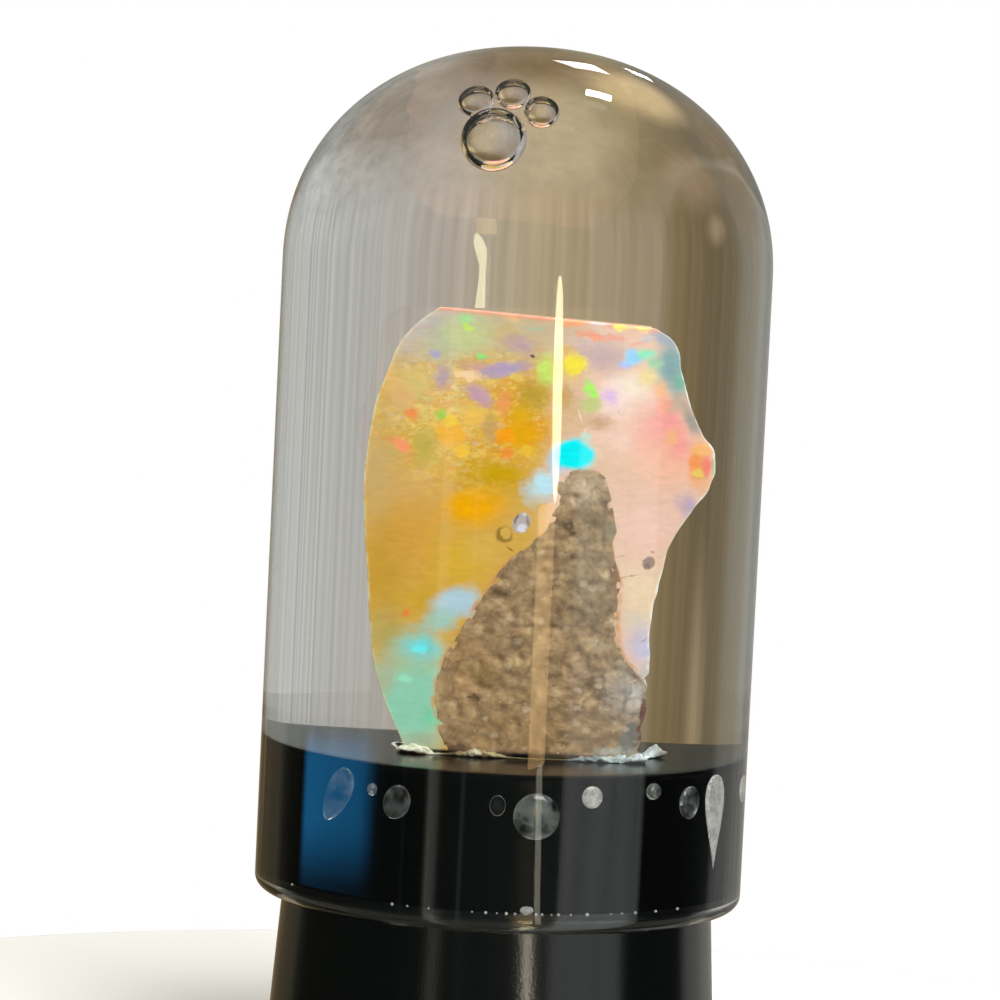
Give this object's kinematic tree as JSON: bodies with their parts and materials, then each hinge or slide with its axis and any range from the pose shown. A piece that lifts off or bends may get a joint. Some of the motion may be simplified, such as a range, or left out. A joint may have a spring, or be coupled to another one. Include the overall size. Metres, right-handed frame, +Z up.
{
  "type": "opal specimen in a water-filled glass dome",
  "caption": "Precious opal with its host rock, standing in a water-filled glass dome that a tapered black rubber stopper closes from below.",
  "frame": {"origin": "centre of the stopper's flat bottom, on the surface that it stands on", "axes": "+Z up the dome's axis; the opal's polished face looks towards -Y; +X is to the right in the picture"},
  "size_m": [0.032, 0.032, 0.0708],
  "materials": {
    "glass_dome": "clear fire-polished glass",
    "stopper": "smooth moulded black rubber, wet inside the dome",
    "water": "clear water",
    "opal": "polished translucent opal with play of colour",
    "host_rock": "matt grainy tuff",
    "glue": "dried wrinkled glue"
  },
  "bodies": {
    "root": {"glass_dome": "glass_dome", "stopper": "stopper", "water": "water", "opal": "opal", "host_rock": "host_rock", "glue": "glue"}
  },
  "joints": []
}
